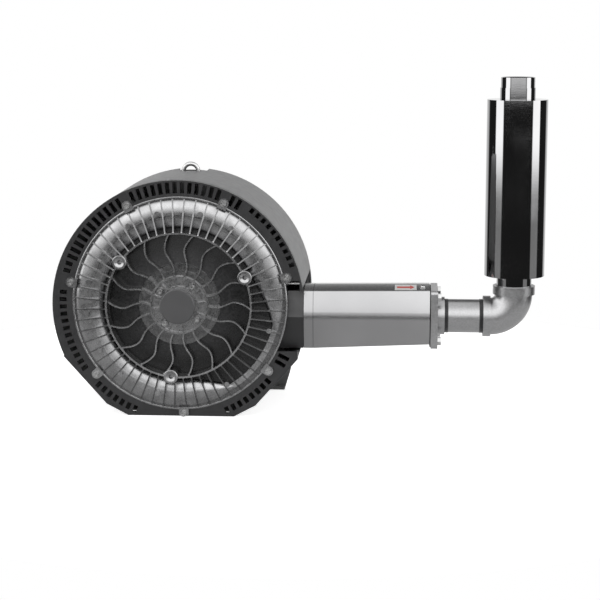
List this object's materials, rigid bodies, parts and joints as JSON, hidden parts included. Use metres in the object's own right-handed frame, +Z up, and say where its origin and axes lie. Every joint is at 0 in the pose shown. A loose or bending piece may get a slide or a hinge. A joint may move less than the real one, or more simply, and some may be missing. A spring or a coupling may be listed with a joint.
{
  "type": "side channel blower",
  "caption": "Side channel blower with ribbed round cover in a noise hood, in-line silencer, pipe elbow and upright muffler.",
  "frame": {"origin": "on the floor, under the shaft, in the plane of the front cover's rim, at the front edge of the flat base", "axes": "+Z up, +X along the outlet silencer and pipe, +Y along the shaft to the back"},
  "size_m": [1.1098, 0.367, 0.763],
  "materials": {
    "cast_aluminium": "satin",
    "dark_cap": "satin",
    "zinc_steel": "satin",
    "black_paint": "satin",
    "grey_paint": "matte",
    "bearing_steel": "polished",
    "rubber": "matte",
    "lamination": "satin",
    "copper": "satin",
    "black_plastic": "matte",
    "impeller_aluminium": "satin",
    "silencer_grey": "satin",
    "foam": "matte",
    "galvanised": "satin",
    "chrome": "polished"
  },
  "bodies": {
    "frame": {"front_cover": "cast_aluminium", "hub_ring": "cast_aluminium", "hub_cap": "dark_cap", "hub_screws": "zinc_steel", "cover_screws": "zinc_steel", "casing": "black_paint", "channel_housing": "black_paint", "front_bearing_outer_ring": "bearing_steel", "rear_bearing_outer_ring": "bearing_steel", "shaft_seal": "rubber", "motor_housing": "grey_paint", "stator_core": "lamination", "stator_windings": "copper", "rear_end_shield": "grey_paint", "fan_cowl": "grey_paint", "motor_support": "grey_paint", "terminal_box": "grey_paint", "terminal_lid": "grey_paint", "cable_gland": "black_plastic", "lifting_eye": "zinc_steel", "hood": "grey_paint", "rear_foot": "grey_paint", "inlet_manifold": "black_paint", "inlet_gasket": "rubber", "inlet_flange": "galvanised", "inlet_bolts": "zinc_steel", "outlet_gasket": "rubber", "silencer_collar": "silencer_grey", "silencer_body": "silencer_grey", "silencer_foam": "foam", "silencer_tube": "galvanised", "end_gasket": "rubber", "end_flange": "galvanised", "flange_bolts": "zinc_steel", "pipe_nipple": "galvanised", "pipe_elbow": "galvanised", "muffler_neck": "galvanised", "muffler_shell": "chrome", "muffler_bottom_cap": "chrome", "muffler_top_cap": "chrome", "muffler_tube": "galvanised", "muffler_packing": "foam", "muffler_stub": "galvanised", "outlet_bolts": "zinc_steel"},
    "rotor": {"shaft": "bearing_steel", "impeller": "impeller_aluminium", "impeller_key": "zinc_steel", "shaft_nut": "zinc_steel", "rotor_core": "lamination", "cooling_fan": "black_plastic", "front_bearing_inner_ring": "bearing_steel", "rear_bearing_inner_ring": "bearing_steel"},
    "front_cage": {"front_bearing_balls": "bearing_steel"},
    "rear_cage": {"rear_bearing_balls": "bearing_steel"}
  },
  "joints": [
    {"name": "rotor_spin", "type": "hinge", "parent": "frame", "child": "rotor", "pos_m": [0, 0, 0.258], "axis": [0, -1, 0], "continuous": true},
    {"name": "front_cage_spin", "type": "hinge", "parent": "frame", "child": "front_cage", "pos_m": [0, 0, 0.258], "axis": [0, -1, 0], "continuous": true},
    {"name": "rear_cage_spin", "type": "hinge", "parent": "frame", "child": "rear_cage", "pos_m": [0, 0, 0.258], "axis": [0, -1, 0], "continuous": true}
  ],
  "couplings": [
    {"joint": "front_cage_spin", "follows": "rotor_spin", "ratio": 0.408},
    {"joint": "rear_cage_spin", "follows": "rotor_spin", "ratio": 0.408}
  ]
}
